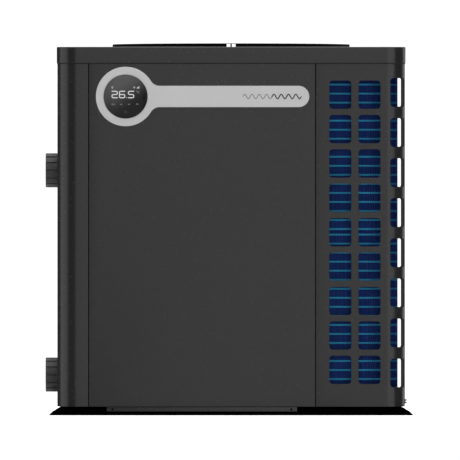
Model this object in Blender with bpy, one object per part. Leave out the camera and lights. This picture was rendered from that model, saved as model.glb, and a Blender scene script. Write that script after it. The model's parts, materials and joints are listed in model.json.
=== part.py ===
"""Pool heat pump with a top-discharge fan, modelled in metres with +Z up.

The origin is on the fan's axis, at the floor. The front faces -Y and the water unions face -X.
"""

import math

import bmesh
import bpy
from mathutils import Vector

# ---------------------------------------------------------------- driving dimensions, metres
BODY = 0.400  # half the casing's width and depth
CORNER_R = 0.046
SHEET = 0.0012
CLEAR = 0.0004  # gap between pieces that touch

WALL_BOTTOM = 0.0200
WALL_TOP = 0.8420
LID_BOTTOM = 0.8085
LID_TOP = 0.8476
LID_HALF = BODY + 0.0003 + SHEET
GUARD_TOP = 0.8568
GUARD_R = 0.275
FAN_OPENING_R = 0.268

BASE_HALF = 0.4185
BASE_NECK = 0.3910
PAN_FLOOR = 0.0060
PAN_LEDGE = 0.0345
PAN_LIP = 0.0400

SEAM_LEFT = -0.3280  # centre of the gap left of the front panel
SEAM_RIGHT = 0.1939  # centre of the gap right of the front panel
SEAM_REAR_LEFT = -0.3280
SEAM_REAR_RIGHT = -0.1355
SEAM_SIDE = 0.3450  # the gaps near both ends of the right side
SEAM_GAP = 0.0011
RETURN = 0.012  # depth of a panel's inward edge
SIDE_RETURN = 0.0085
REAR_RETURN = 0.0030

HOLE_W = 0.0508
COLUMN_PITCH = 0.067
FRONT_HOLE = (HOLE_W, 0.0653)
FRONT_ROWS = 9
FRONT_ROW_PITCH = 0.0791
FRONT_TOP_ROW = 0.7374  # centre height of the top row of holes
FRONT_FIRST_COLUMN = 0.2512
SIDE_HOLE = (HOLE_W, 0.0667)
CORNER_HOLE = (0.0460, 0.0667)
SIDE_ROWS = 8
REAR_TOP_ROW = 0.7483
REAR_ROW_PITCH = 0.0938
SIDE_COLUMNS = 10
REAR_COLUMNS = 7
SIDE_ROW_PITCH = 0.0922
SIDE_TOP_ROW = 0.7427

LIP_HALF = BODY - RETURN - 2 * CLEAR  # the tray's lip stands just behind the panels' inward edges
LIP_R = CORNER_R - (BODY - LIP_HALF)

COIL_FACE = BODY - 0.0174  # outer face of the finned coil
COIL_THICK = 0.030
COIL_R = 0.100
COIL_START_X = 0.2110
COIL_END_X = -0.1000
COIL_BOTTOM = PAN_LEDGE + CLEAR
COIL_SPLIT = 0.4220
COIL_TOP = 0.7881

CONTROLLER = Vector((-0.2428, -BODY, 0.7332))
GLASS_R = 0.0502
RING_R = 0.0685
BADGE_BAR_HALF = 0.0245
BADGE_FILLET = 0.023
BADGE_END_X = 0.1797
BADGE_THICK = 0.003

UNION_Y = 0.100
INLET_Z = 0.0900
OUTLET_Z = 0.5650
UNION_TIP_X = -0.4313
NUT_INNER_X = -0.4033
NUT_LUGS = 14
NUT_LUG_SHARE = 0.80  # of the pitch, which leaves narrow grooves
NUT_ROOT_R = 0.0375
NUT_LUG_R = 0.0397
PORT_R = 0.0315
PIPE_SOCKET_R = 0.0252

EXCHANGER = Vector((-0.285, UNION_Y, 0.0))
EXCHANGER_R = 0.095
EXCHANGER_TOP = 0.600
COMPRESSOR = Vector((-0.060, -0.110, 0.0))
ACCUMULATOR = Vector((-0.172, -0.110, 0.0))
VALVE = Vector((-0.060, -0.020, 0.520))
EXPANSION = Vector((-0.200, 0.300, 0.300))
HEADER = Vector((-0.130, 0.3676, 0.0))
COVER_Z = 0.655  # underside of the machine compartment's cover

BOX_LOW = Vector((-0.300, -0.374, 0.470))
BOX_HIGH = Vector((0.170, -0.298, 0.790))
GLAND = Vector((-0.2318, BODY, 0.200))

SHROUD_BOTTOM = 0.735
BLADES = 5

ALONG = {
    "Z": (0.0, 0.0, 0.0),
    "-X": (0.0, -math.pi / 2, 0.0),
    "X": (0.0, math.pi / 2, 0.0),
    "Y": (-math.pi / 2, 0.0, 0.0),
    "-Y": (math.pi / 2, 0.0, 0.0),
}


# ---------------------------------------------------------------- modelling helpers
def clear_scene():
    for item in list(bpy.data.objects):
        bpy.data.objects.remove(item)


def material(name, colour, roughness, metallic=0.0):
    made = bpy.data.materials.new(name)
    made.use_nodes = True
    shader = made.node_tree.nodes["Principled BSDF"]
    shader.inputs["Base Color"].default_value = (*colour, 1.0)
    shader.inputs["Roughness"].default_value = roughness
    shader.inputs["Metallic"].default_value = metallic
    return made


def add(name, bm, paint, place=(0, 0, 0), along="Z"):
    """Makes a named object of a closed bmesh, with its local +Z turned to the axis given."""
    bmesh.ops.recalc_face_normals(bm, faces=bm.faces)
    mesh = bpy.data.meshes.new(name)
    bm.to_mesh(mesh)
    bm.free()
    mesh.shade_smooth()
    mesh.set_sharp_from_angle(angle=math.radians(35))
    item = bpy.data.objects.new(name, mesh)
    if paint:
        mesh.materials.append(paint)
    item.location = place
    item.rotation_euler = ALONG[along]
    bpy.context.scene.collection.objects.link(item)
    return item


def skin(bm, loops, ring=False):
    """Adds quads between loops of equal length. It caps the ends, or joins them when ring is set."""
    rows = [[bm.verts.new(point) for point in loop] for loop in loops]
    count = len(rows[0])
    pairs = list(zip(rows, rows[1:]))
    if ring:
        pairs.append((rows[-1], rows[0]))
    for low, high in pairs:
        for i in range(count):
            j = (i + 1) % count
            bm.faces.new((low[i], low[j], high[j], high[i]))
    if not ring:
        bm.faces.new(rows[0][::-1])
        bm.faces.new(rows[-1])


def loft(name, loops, paint, ring=False, place=(0, 0, 0), along="Z"):
    bm = bmesh.new()
    skin(bm, loops, ring)
    return add(name, bm, paint, place, along)


def circle(radius, z, count=24, centre=(0, 0)):
    step = 2 * math.pi / count
    return [
        Vector((centre[0] + radius * math.cos(i * step), centre[1] + radius * math.sin(i * step), z))
        for i in range(count)
    ]


def arc(centre, radius, start, end, steps):
    """Points on an arc in a plane, from start to end degrees."""
    turns = [math.radians(start + (end - start) * i / steps) for i in range(steps + 1)]
    return [(centre[0] + radius * math.cos(t), centre[1] + radius * math.sin(t)) for t in turns]


def rounded_rect(half_w, half_h, radius, steps=3):
    points = []
    corners = ((1, 1, 0), (-1, 1, 90), (-1, -1, 180), (1, -1, 270))
    for side, up, start in corners:
        centre = (side * (half_w - radius), up * (half_h - radius))
        points += arc(centre, radius, start, start + 90, steps)
    return points


def flat_loop(points, z):
    return [Vector((x, y, z)) for x, y in points]


def prism(name, outline, low, high, paint, place=(0, 0, 0), along="Z"):
    return loft(name, [flat_loop(outline, low), flat_loop(outline, high)], paint, place=place, along=along)


def turned(name, profile, paint, count=24, ring=False, place=(0, 0, 0), along="Z"):
    """A turned piece from (radius, height) pairs."""
    return loft(name, [circle(r, z, count) for r, z in profile], paint, ring, place, along)


def block(name, low, high, paint):
    low, high = Vector(low), Vector(high)
    outline = [(low.x, low.y), (high.x, low.y), (high.x, high.y), (low.x, high.y)]
    return prism(name, outline, low.z, high.z, paint)


def offset_outline(path, thick):
    """A closed outline: the path, and the same path moved to its left by thick, mitred at each bend."""
    path = [Vector(p) for p in path]
    inner = []
    for i, point in enumerate(path):
        before = (point - path[i - 1]).normalized() if i else None
        after = (path[i + 1] - point).normalized() if i + 1 < len(path) else None
        before = before or after
        after = after or before
        normal = Vector((-before.y - after.y, before.x + after.x)).normalized()
        inner.append(point + normal * thick / normal.dot(Vector((-after.y, after.x))))
    return [tuple(p) for p in path] + [tuple(p) for p in reversed(inner)]


def bent_sheet(name, path, paint, thick=SHEET, low=WALL_BOTTOM, high=WALL_TOP):
    """An upright sheet bent along a path in plan. It lies to the left of the path's direction."""
    return prism(name, offset_outline(path, thick), low, high, paint)


def filleted(points, radius, steps=3):
    """The path with each bend rounded by an arc that touches both legs."""
    points = [Vector(p) for p in points]
    path = [points[0]]
    for before, here, after in zip(points, points[1:], points[2:]):
        first = (before - here).normalized()
        second = (after - here).normalized()
        half = first.angle(second) / 2
        reach = radius / math.tan(half)
        centre = here + (first + second).normalized() * radius / math.sin(half)
        start = here + first * reach - centre
        end = here + second * reach - centre
        for i in range(steps + 1):
            path.append(centre + start.slerp(end, i / steps).normalized() * radius)
    return path + [points[-1]]


def tube_loops(path, radius, sides=6):
    """Rings of points round a path, turned as little as possible from one to the next."""
    loops = []
    side = None
    for i, point in enumerate(path):
        ahead = (path[min(i + 1, len(path) - 1)] - path[max(i - 1, 0)]).normalized()
        if side is None:
            side = ahead.orthogonal().normalized()
        side = (side - ahead * side.dot(ahead)).normalized()
        up = ahead.cross(side)
        turns = [2 * math.pi * k / sides for k in range(sides)]
        loops.append([point + side * radius * math.cos(t) + up * radius * math.sin(t) for t in turns])
    return loops


def pipe(name, points, radius, paint, bend=0.018):
    return loft(name, tube_loops(filleted(points, bend), radius), paint)


def boolean(item, other, operation="DIFFERENCE"):
    """Cuts other from item, or joins it to item. The other object is only a helper."""
    change = item.modifiers.new(operation.title(), "BOOLEAN")
    change.object = other
    change.operation = operation
    other.hide_render = True
    other.display_type = "WIRE"
    return item


def bore(item, name, radius, low, high, place, along="Z", count=24):
    cutter = turned(name, [(radius, low), (radius, high)], None, count, place=place, along=along)
    return boolean(item, cutter)


def holes_cutter(name, shape, centres, normal, depth=0.012):
    """One cutter of many blocks, each through a wall with that normal."""
    normal = Vector(normal).normalized()
    across = Vector((0, 0, 1)).cross(normal) * shape[0] / 2
    rise = Vector((0, 0, shape[1] / 2))
    bm = bmesh.new()
    for centre in centres:
        flat = [Vector(centre) + across * u + rise * v for u, v in ((1, 1), (-1, 1), (-1, -1), (1, -1))]
        skin(bm, [[p - normal * depth for p in flat], [p + normal * depth for p in flat]])
    return add(name, bm, None)


def rows(top, pitch, count):
    return [top - i * pitch for i in range(count)]


# ---------------------------------------------------------------- casing
def wall_corner(quadrant, radius=CORNER_R, steps=6):
    """The casing's outer arc at one corner, counterclockwise in plan. Quadrant 0 is +X +Y."""
    signs = ((1, 1), (-1, 1), (-1, -1), (1, -1))[quadrant]
    centre = [sign * (BODY - radius) for sign in signs]
    return arc(centre, radius, 90 * quadrant, 90 * quadrant + 90, steps)


def build_base(paint):
    """A moulded tray: a flared skirt, a lip behind the panels, a ledge under the coil, drain holes."""
    profile = (
        (BASE_HALF, 0.0, 0.014),
        (BASE_HALF, 0.0012, 0.014),
        (BASE_NECK, WALL_BOTTOM - 0.0020, 0.012),
        (LIP_HALF, WALL_BOTTOM - 0.0015, LIP_R),
        (LIP_HALF, PAN_LIP, LIP_R),
        (LIP_HALF - 0.002, PAN_LIP, LIP_R - 0.002),
        (LIP_HALF - 0.002, PAN_LEDGE, LIP_R - 0.002),
        (0.340, PAN_LEDGE, 0.030),
        (0.336, PAN_FLOOR, 0.026),
    )
    loops = [flat_loop(rounded_rect(half, half, radius), z) for half, z, radius in profile]
    pan = loft("base_pan", loops, paint)
    boss = turned("vessel_boss", [(0.085, PAN_FLOOR / 2), (0.085, PAN_LEDGE)], None, place=EXCHANGER)
    boolean(pan, boss, "UNION")
    drains = bmesh.new()
    for x, y in ((0.27, 0.27), (0.27, -0.27), (-0.05, 0.29), (0.28, 0.0)):
        skin(drains, [circle(0.012, -0.01, 8, (x, y)), circle(0.012, 0.02, 8, (x, y))])
    boolean(pan, add("drain_cutter", drains, None))


def build_panels(paint):
    """The casing's upright sheets, each with its edges turned inwards."""
    left = SEAM_LEFT + SEAM_GAP / 2
    right = SEAM_RIGHT - SEAM_GAP / 2
    front = bent_sheet(
        "front_panel",
        [(left, -BODY + RETURN), (left, -BODY), (right, -BODY), (right, -BODY + RETURN)],
        paint,
    )
    bore(front, "controller_hole", 0.0440, -0.01, 0.01, CONTROLLER, "Y")

    edge = SEAM_LEFT - SEAM_GAP / 2
    path = [(edge, BODY - RETURN), (edge, BODY)]
    path += wall_corner(1) + wall_corner(2)
    path += [(edge, -BODY), (edge, -BODY + RETURN)]
    side = bent_sheet("left_side_panel", path, paint)
    for name, z in (("inlet_hole", INLET_Z), ("outlet_hole", OUTLET_Z)):
        bore(side, name, 0.034, -0.01, 0.01, (-BODY, UNION_Y, z), "X")

    left = SEAM_REAR_LEFT + SEAM_GAP / 2
    right = SEAM_REAR_RIGHT - SEAM_GAP / 2
    rear = bent_sheet(
        "rear_service_panel",
        [(right, BODY - RETURN), (right, BODY), (left, BODY), (left, BODY - RETURN)],
        paint,
    )
    bore(rear, "gland_hole", 0.0104, -0.01, 0.01, GLAND, "Y", 16)


def build_grilles(paint):
    """The three perforated sheets in front of the coil. The front and rear ones wrap their corner."""
    flat = BODY - CORNER_R
    corner = BODY - CORNER_R * (1 - math.sqrt(0.5))
    side_rows = rows(SIDE_TOP_ROW, SIDE_ROW_PITCH, SIDE_ROWS)
    front_rows = rows(FRONT_TOP_ROW, FRONT_ROW_PITCH, FRONT_ROWS)

    edge = SEAM_RIGHT + SEAM_GAP / 2
    seam = -SEAM_SIDE - SEAM_GAP / 2
    path = [(edge, -BODY + RETURN), (edge, -BODY)]
    path += wall_corner(3)
    path += [(BODY, seam), (BODY - SIDE_RETURN, seam)]
    front = bent_sheet("front_corner_grille", path, paint)
    columns = [FRONT_FIRST_COLUMN, FRONT_FIRST_COLUMN + COLUMN_PITCH]
    centres = [(x, -BODY, z) for x in columns for z in front_rows]
    boolean(front, holes_cutter("front_holes", FRONT_HOLE, centres, (0, -1, 0)))
    centres = [(corner, -corner, z) for z in side_rows]
    boolean(front, holes_cutter("front_corner_holes", CORNER_HOLE, centres, (1, -1, 0)))

    seam = SEAM_SIDE - SEAM_GAP / 2
    path = [(BODY - SIDE_RETURN, -seam), (BODY, -seam), (BODY, seam), (BODY - REAR_RETURN, seam)]
    side = bent_sheet("side_grille", path, paint)
    columns = [(i - (SIDE_COLUMNS - 1) / 2) * COLUMN_PITCH for i in range(SIDE_COLUMNS)]
    centres = [(BODY, y, z) for y in columns for z in side_rows]
    boolean(side, holes_cutter("side_holes", SIDE_HOLE, centres, (1, 0, 0)))

    edge = SEAM_REAR_RIGHT + SEAM_GAP / 2
    seam = SEAM_SIDE + SEAM_GAP / 2
    path = [(BODY - REAR_RETURN, seam), (BODY, seam)]
    path += wall_corner(0)
    path += [(edge, BODY), (edge, BODY - RETURN)]
    rear = bent_sheet("rear_corner_grille", path, paint)
    rear_rows = rows(REAR_TOP_ROW, REAR_ROW_PITCH, SIDE_ROWS)
    centres = [(corner, corner, z) for z in rear_rows]
    boolean(rear, holes_cutter("rear_corner_holes", CORNER_HOLE, centres, (1, 1, 0)))
    middle = (edge + flat) / 2
    columns = [middle + (i - (REAR_COLUMNS - 1) / 2) * COLUMN_PITCH for i in range(REAR_COLUMNS)]
    centres = [(x, BODY, z) for x in columns for z in rear_rows]
    boolean(rear, holes_cutter("rear_holes", SIDE_HOLE, centres, (0, 1, 0)))


def build_lock_strip(paint, steel):
    """An angle over the skirt's front edge that closes the front panel's foot, with two screws."""
    middle = (SEAM_LEFT + SEAM_RIGHT) / 2
    half, face = 0.2188, -BODY - 0.0083
    low, high = 0.0088, 0.0186
    section = [(face, low), (face, high), (-0.3936, high), (-0.3936, high - SHEET),
               (face + SHEET, high - SHEET), (face + SHEET, low)]
    loops = [[Vector((middle + x, y, z)) for y, z in section] for x in (-half, half)]
    loft("panel_lock_strip", loops, paint)
    for name, side in (("lock_screw_left", -1), ("lock_screw_right", 1)):
        place = (middle + side * 0.2055, face - CLEAR, (low + high) / 2)
        turned(name, [(0.0027, 0.0), (0.0027, 0.0006), (0.0018, 0.0012)], steel, 12, place=place, along="-Y")


def build_lid(paint):
    """A pressed cover with a skirt over the panels and a round opening for the fan."""
    outer = rounded_rect(LID_HALF, LID_HALF, CORNER_R + 0.0015, 6)
    inner = rounded_rect(LID_HALF - SHEET, LID_HALF - SHEET, CORNER_R + 0.0003, 6)
    eased = rounded_rect(LID_HALF - 0.002, LID_HALF - 0.002, CORNER_R - 0.0005, 6)
    loops = [
        flat_loop(inner, LID_TOP - SHEET),
        flat_loop(inner, LID_BOTTOM),
        flat_loop(outer, LID_BOTTOM),
        flat_loop(outer, LID_TOP - 0.002),
        flat_loop(eased, LID_TOP),
    ]
    lid = loft("top_lid", loops, paint)
    bore(lid, "fan_opening", FAN_OPENING_R, 0.83, 0.86, (0, 0, 0), count=32)


def build_guard(paint):
    """A rim with two drain notches at the front and a gap at the rear, and a sunk web of rings."""
    low = LID_TOP + CLEAR
    profile = [
        (GUARD_R - 0.0010, GUARD_TOP),
        (GUARD_R, GUARD_TOP - 0.0010),
        (GUARD_R, low),
        (0.262, low),
        (0.262, GUARD_TOP),
    ]
    guard = turned("fan_guard", profile, paint, 32, ring=True)
    web = (LID_TOP - 0.0010, LID_TOP + 0.0014)
    for i, radius in enumerate((0.075, 0.120, 0.165, 0.213)):
        ring = [(radius, web[0]), (radius + 0.004, web[0]), (radius + 0.004, web[1]), (radius, web[1])]
        boolean(guard, turned(f"guard_ring_{i}", ring, None, 20, ring=True), "UNION")
    for i in range(3):
        outline = [(-0.2660, -0.002), (0.2660, -0.002), (0.2660, 0.002), (-0.2660, 0.002)]
        bar = prism(f"guard_bar_{i}", outline, web[0] - 0.0001, web[1] - 0.0001, None)
        bar.rotation_euler.z = math.radians(30 + 60 * i)
        boolean(guard, bar, "UNION")
    disc = turned("guard_disc", [(0.040, web[0] - 0.0002), (0.040, web[1] + 0.0002)], None)
    boolean(guard, disc, "UNION")
    cuts = bmesh.new()
    notches = ((-0.0060, -0.269, 0.0043, GUARD_TOP - 0.0012), (0.0060, -0.269, 0.0043, GUARD_TOP - 0.0012))
    for x, y, half, high in (*notches, (0.0, 0.269, 0.0103, GUARD_TOP + 0.0010)):
        outline = [(x - half, y - 0.012), (x + half, y - 0.012), (x + half, y + 0.012), (x - half, y + 0.012)]
        skin(cuts, [flat_loop(outline, low - 0.0003), flat_loop(outline, high)])
    boolean(guard, add("notch_cutter", cuts, None))


def build_shroud(paint):
    """The ring that the fan runs in, with a bell mouth at its lower edge and a flange under the lid."""
    top = LID_TOP - SHEET - CLEAR
    profile = [(0.2620, top), (0.2620, SHROUD_BOTTOM + 0.025)]
    profile += [(0.2870 + 0.025 * math.cos(t), SHROUD_BOTTOM + 0.025 + 0.025 * math.sin(t))
                for t in (math.radians(a) for a in (225, 270))]
    profile += [(0.2870, SHROUD_BOTTOM + 0.002)]
    profile += [(0.2870 + 0.023 * math.cos(t), SHROUD_BOTTOM + 0.025 + 0.023 * math.sin(t))
                for t in (math.radians(a) for a in (225, 180))]
    profile += [(0.2640, top - 0.002), (0.2850, top - 0.002), (0.2850, top)]
    turned("fan_shroud", profile, paint, 32, ring=True)


def badge_outline():
    """A ring's outer circle that runs by two fillets into a bar with a round end, in local X and Y."""
    lift = BADGE_BAR_HALF + BADGE_FILLET
    reach = math.sqrt((RING_R + BADGE_FILLET) ** 2 - lift**2)
    angle = math.degrees(math.atan2(lift, reach))
    end = BADGE_END_X - CONTROLLER.x - BADGE_BAR_HALF
    points = arc((0, 0), RING_R, angle, 360 - angle, 30)
    points += arc((reach, -lift), BADGE_FILLET, 180 - angle, 90, 4)[1:]
    points += arc((end, 0), BADGE_BAR_HALF, -90, 90, 12)
    points += arc((reach, lift), BADGE_FILLET, 270, 180 + angle, 4)[:-1]
    return points


def build_controller(silver, glass, plastic):
    """The badge plate on the front panel, and the round controller that it frames."""
    face = -BODY - 0.0003
    place = (CONTROLLER.x, 0, CONTROLLER.z)
    badge = prism("badge_plate", badge_outline(), -face, -face + BADGE_THICK, silver, place, "-Y")
    bore(badge, "badge_hole", GLASS_R + 0.0003, 0.39, 0.41, place, "-Y", 48)
    profile = [(GLASS_R, -face), (GLASS_R, -face + 0.0040), (GLASS_R - 0.0012, -face + 0.0050)]
    turned("controller_glass", profile, glass, 48, place=place, along="-Y")
    profile = [
        (0.0434, BODY - 0.018),
        (0.0434, BODY),
        (0.0414, BODY),
        (0.0414, BODY - 0.016),
    ]
    turned("controller_housing", profile, plastic, 32, place=place, along="-Y")


def build_earth_terminal(paint):
    """A small plate with two studs, low on the right side, for the bonding wire."""
    plate = block("earth_terminal", (BODY + 0.0003, -0.306, 0.0262), (BODY + 0.0013, -0.294, 0.0366), paint)
    for i, z in enumerate((0.0285, 0.0343)):
        profile = [(0.0017, 0.0006), (0.0017, 0.0038), (0.0010, 0.0044)]
        stud = turned(f"earth_stud_{i}", profile, None, 10, place=(BODY, -0.300, z), along="X")
        boolean(plate, stud, "UNION")


# ---------------------------------------------------------------- air side
def coil_path():
    """The outer face of the coil in plan, from its front end round two corners to its rear end."""
    inset = COIL_FACE - COIL_R
    path = [(COIL_START_X, -COIL_FACE)]
    path += arc((inset, -inset), COIL_R, 270, 360, 8)
    path += arc((inset, inset), COIL_R, 0, 90, 8)
    path += [(COIL_END_X, COIL_FACE)]
    return path


def build_coil(fins, steel, copper):
    """Two finned slabs, one on the other, with an end plate at each end and a gas header."""
    outline = offset_outline(coil_path(), COIL_THICK)
    prism("evaporator_lower", outline, COIL_BOTTOM, COIL_SPLIT - CLEAR / 2, fins)
    prism("evaporator_upper", outline, COIL_SPLIT + CLEAR / 2, COIL_TOP, fins)
    plate = 0.0015
    inner = COIL_FACE - COIL_THICK - 0.003
    outer = COIL_FACE + 0.0015
    start = COIL_START_X - CLEAR
    end = COIL_END_X - CLEAR
    block("coil_end_plate_front", (start - plate, -outer, COIL_BOTTOM), (start, -inner, COIL_TOP), steel)
    block("coil_end_plate_rear", (end - plate, inner, COIL_BOTTOM), (end, outer, COIL_TOP), steel)
    profile = [(0.005, 0.080), (0.011, 0.084), (0.011, 0.606), (0.005, 0.610)]
    turned("refrigerant_header", profile, copper, 12, place=HEADER)


def blade_solid(bm, start):
    """One swept fan blade, thin and twisted, that rises from its leading to its trailing edge."""
    stations, chords = 4, 3
    upper, lower = [], []
    for i in range(stations + 1):
        share = i / stations
        radius = 0.048 + share * 0.204
        spread = math.radians(30 + 16 * share)
        lead = start + math.radians(26) * share**1.5
        lift = 0.050 - 0.010 * share
        for j in range(chords + 1):
            along = j / chords
            angle = lead + spread * along
            height = 0.749 + lift * (along - 0.12 * math.sin(math.pi * along))
            point = Vector((radius * math.cos(angle), radius * math.sin(angle), height))
            upper.append(bm.verts.new(point + Vector((0, 0, 0.003))))
            lower.append(bm.verts.new(point))
    wide = chords + 1

    def quad(grid, i, j):
        return [grid[k] for k in (i * wide + j, i * wide + j + 1, (i + 1) * wide + j + 1, (i + 1) * wide + j)]

    for i in range(stations):
        for j in range(chords):
            bm.faces.new(quad(upper, i, j))
            bm.faces.new(quad(lower, i, j)[::-1])
    edge = [j for j in range(wide)] + [i * wide + chords for i in range(1, stations + 1)]
    edge += [stations * wide + j for j in range(chords - 1, -1, -1)]
    edge += [i * wide for i in range(stations - 1, 0, -1)]
    for a, b in zip(edge, edge[1:] + edge[:1]):
        bm.faces.new((lower[a], lower[b], upper[b], upper[a]))
    bmesh.ops.triangulate(bm, faces=bm.faces)


def build_fan(plastic, motor_paint, steel):
    """The motor on its four-armed bracket, and the shaft, impeller and nut that turn."""
    top = SHROUD_BOTTOM - CLEAR
    arm = [(-0.2900, -0.010), (0.2900, -0.010), (0.2900, 0.010), (-0.2900, 0.010)]
    bracket = turned("motor_bracket", [(0.075, top - 0.006), (0.075, top - 0.001)], steel)
    for i in range(2):
        bar = prism(f"bracket_bar_{i}", arm, top - 0.0055, top, None)
        bar.rotation_euler.z = math.radians(45 + 90 * i)
        boolean(bracket, bar, "UNION")
    bore(bracket, "bracket_bore", 0.020, 0.70, 0.75, (0, 0, 0))
    motor_top = top - 0.006 - CLEAR
    profile = [
        (0.050, motor_top - 0.060),
        (0.058, motor_top - 0.054),
        (0.058, motor_top - 0.016),
        (0.066, motor_top - 0.014),
        (0.066, motor_top),
        (0.018, motor_top),
        (0.018, motor_top + 0.006),
        (0.0065, motor_top + 0.006),
        (0.0065, motor_top - 0.030),
    ]
    turned("fan_motor", profile, motor_paint)
    turned("motor_shaft", [(0.006, motor_top - 0.028), (0.006, 0.8210)], steel, 16)
    profile = [
        (0.0064, 0.742),
        (0.052, 0.742),
        (0.055, 0.745),
        (0.055, 0.800),
        (0.048, 0.806),
        (0.0064, 0.806),
    ]
    impeller = turned("fan_impeller", profile, plastic, ring=True)
    blades = bmesh.new()
    for i in range(BLADES):
        blade_solid(blades, 2 * math.pi * i / BLADES)
    boolean(impeller, add("impeller_blades", blades, None), "UNION")
    nut = turned("hub_nut", [(0.0130, 0.8064), (0.0130, 0.8160), (0.0110, 0.8190)], steel, 6)
    bore(nut, "nut_bore", 0.0064, 0.79, 0.83, (0, 0, 0), count=16)


# ---------------------------------------------------------------- machine compartment
def build_partition(steel):
    """The wall between the machine compartment and the air chamber, and the compartment's cover."""
    x, y = 0.1990, 0.220
    back = COIL_FACE - COIL_THICK - 0.0035
    left = COIL_END_X - 0.0030
    path = [(x, -LIP_HALF + 0.0024), (x, y), (left, y), (left, back)]
    wall = bent_sheet("partition_wall", path, steel, low=PAN_FLOOR + CLEAR, high=COVER_Z - CLEAR)
    for side in (-1, 1):
        near, far = sorted((side * 0.3350, side * BODY))
        boolean(wall, block(f"ledge_notch_{side}", (-0.2, near, 0), (0.3, far, PAN_LEDGE + CLEAR), None))
    edge = BODY - SHEET - 0.001
    outline = [
        (-edge, -0.2900),
        (x - 0.002, -0.2900),
        (x - 0.002, y - 0.002),
        (left - 0.002, y - 0.002),
        (left - 0.002, back),
        (HEADER.x + 0.018, back),
        (HEADER.x + 0.018, edge - RETURN),
        (CORNER_R - BODY, edge - RETURN),
        (-edge, BODY - CORNER_R - RETURN),
    ]
    prism("compartment_cover", outline, COVER_Z, COVER_Z + SHEET, steel)


def build_compressor(paint, steel, rubber):
    """The hermetic compressor on a three-armed foot with rubber grommets, and its accumulator."""
    foot_z = 0.036
    profile = [
        (0.040, foot_z + 0.0044),
        (0.068, 0.048),
        (0.075, 0.062),
        (0.075, 0.365),
        (0.066, 0.387),
        (0.044, 0.400),
        (0.012, 0.404),
    ]
    turned("compressor_shell", profile, paint, place=COMPRESSOR)
    foot = turned("compressor_foot", [(0.055, foot_z), (0.055, foot_z + 0.004)], steel, place=COMPRESSOR)
    for i in range(3):
        turn = math.radians(90 + 120 * i)
        arm = prism(f"foot_arm_{i}", rounded_rect(0.062, 0.020, 0.012, 1), foot_z, foot_z + 0.0039, None)
        arm.location = COMPRESSOR + Vector((math.cos(turn), math.sin(turn), 0)) * 0.050
        arm.rotation_euler.z = turn
        boolean(foot, arm, "UNION")
        post = COMPRESSOR + Vector((math.cos(turn), math.sin(turn), 0)) * 0.094
        profile = [
            (0.016, PAN_FLOOR + CLEAR),
            (0.013, PAN_FLOOR + 0.008),
            (0.016, PAN_FLOOR + 0.016),
            (0.013, PAN_FLOOR + 0.023),
            (0.016, foot_z - CLEAR),
        ]
        turned(f"compressor_grommet_{i + 1}", profile, rubber, 12, place=post)
    profile = [(0.010, 0.118), (0.034, 0.134), (0.036, 0.140), (0.036, 0.330), (0.034, 0.336), (0.010, 0.356)]
    accumulator = turned("accumulator", profile, paint, place=ACCUMULATOR)
    reach = COMPRESSOR.x - 0.0756
    route = [
        ACCUMULATOR + Vector((0, 0, 0.130)),
        ACCUMULATOR + Vector((0, 0, 0.084)),
        Vector((reach, ACCUMULATOR.y, 0.084)),
    ]
    boolean(accumulator, pipe("accumulator_outlet", route, 0.0080, None, bend=0.020), "UNION")


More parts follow.
